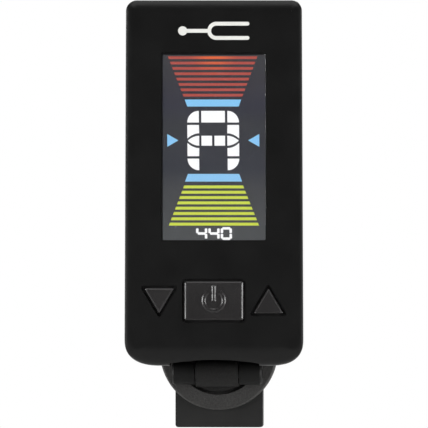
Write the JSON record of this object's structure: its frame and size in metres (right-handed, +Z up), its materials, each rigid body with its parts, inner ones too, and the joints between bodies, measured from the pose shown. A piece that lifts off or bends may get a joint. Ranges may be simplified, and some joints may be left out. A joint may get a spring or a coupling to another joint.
{
  "type": "clip-on tuner",
  "caption": "Flat upright instrument tuner with a colour screen and push buttons, on a tilt hinge and swivel disc carried by a sprung clip.",
  "frame": {"origin": "middle of the front jaw pad's face, which bears on the instrument", "axes": "+Z up along the clip to the top of the head, +Y back from the front pad through the jaw gap, +X to the viewer's right when facing the screen"},
  "size_m": [0.028, 0.0333, 0.0672],
  "materials": {
    "case_plastic": "satin moulded black",
    "grained_plastic": "fine spark-eroded grain, charcoal",
    "clip_plastic": "smooth matt black",
    "pad_rubber": "matt moulded rubber",
    "screen_window": "clear polished, flush",
    "lcd_glass": "dark display panel",
    "light_guide": "clear acrylic, dotted back",
    "white_plastic": "white moulded",
    "circuit_board": "green solder mask",
    "chip_plastic": "black epoxy",
    "steel": "bright",
    "dark_steel": "black oxide",
    "brass": "rolled",
    "red_insulation": "red sleeving",
    "black_insulation": "black sleeving"
  },
  "bodies": {
    "clip_front": {"clip_front_arm": "clip_plastic", "front_pad": "pad_rubber", "pivot_pin": "steel", "torsion_spring": "steel"},
    "clip_rear": {"clip_rear_arm": "clip_plastic", "rear_pad": "pad_rubber"},
    "swivel": {"swivel_disc": "grained_plastic", "swivel_screw": "dark_steel", "swivel_washer": "steel", "hinge_pin": "steel"},
    "key_down": {"down_button": "grained_plastic"},
    "key_power": {"power_button": "grained_plastic"},
    "key_up": {"up_button": "grained_plastic"},
    "cover": {"battery_cover": "case_plastic"},
    "head": {"front_shell": "case_plastic", "rear_shell": "case_plastic", "display_window": "screen_window", "display_frame": "white_plastic", "lcd_panel": "lcd_glass", "light_guide": "light_guide", "backlight_led": "white_plastic", "connector_strip": "pad_rubber", "circuit_board": "circuit_board", "tuner_chip": "chip_plastic", "crystal": "steel", "down_switch": "steel", "power_switch": "steel", "up_switch": "steel", "cell_holder": "chip_plastic", "coin_cell": "steel", "negative_contact": "steel", "positive_contact": "steel", "piezo_disc": "brass", "piezo_lead_red": "red_insulation", "piezo_lead_black": "black_insulation", "case_screw_1": "dark_steel", "case_screw_2": "dark_steel", "case_screw_3": "dark_steel", "case_screw_4": "dark_steel"}
  },
  "joints": [
    {"name": "jaw", "type": "hinge", "parent": "clip_front", "child": "clip_rear", "pos_m": [0, 0.0042, 0.0195], "axis": [1, 0, 0], "range_deg": [0, 42], "stiffness_Nm_per_rad": 0.06, "springref_deg": -5.73, "deforming": ["torsion_spring"]},
    {"name": "swivel", "type": "hinge", "parent": "clip_front", "child": "swivel", "pos_m": [0, -0.005, 0.0073], "axis": [0, 1, 0], "continuous": true},
    {"name": "tilt", "type": "hinge", "parent": "swivel", "child": "head", "pos_m": [0, -0.009, 0.00385], "axis": [1, 0, 0], "range_deg": [0, 110]},
    {"name": "down_press", "type": "slide", "parent": "head", "child": "key_down", "axis": [0, 1, 0], "range_m": [0, 0.0004], "stiffness_N_per_m": 300, "springref_m": -0.0001},
    {"name": "power_press", "type": "slide", "parent": "head", "child": "key_power", "axis": [0, 1, 0], "range_m": [0, 0.0004], "stiffness_N_per_m": 300, "springref_m": -0.0001},
    {"name": "up_press", "type": "slide", "parent": "head", "child": "key_up", "axis": [0, 1, 0], "range_m": [0, 0.0004], "stiffness_N_per_m": 300, "springref_m": -0.0001},
    {"name": "cover_twist", "type": "hinge", "parent": "head", "child": "cover", "pos_m": [0, -0.008, 0.042], "axis": [0, 1, 0], "range_deg": [0, 40]}
  ]
}
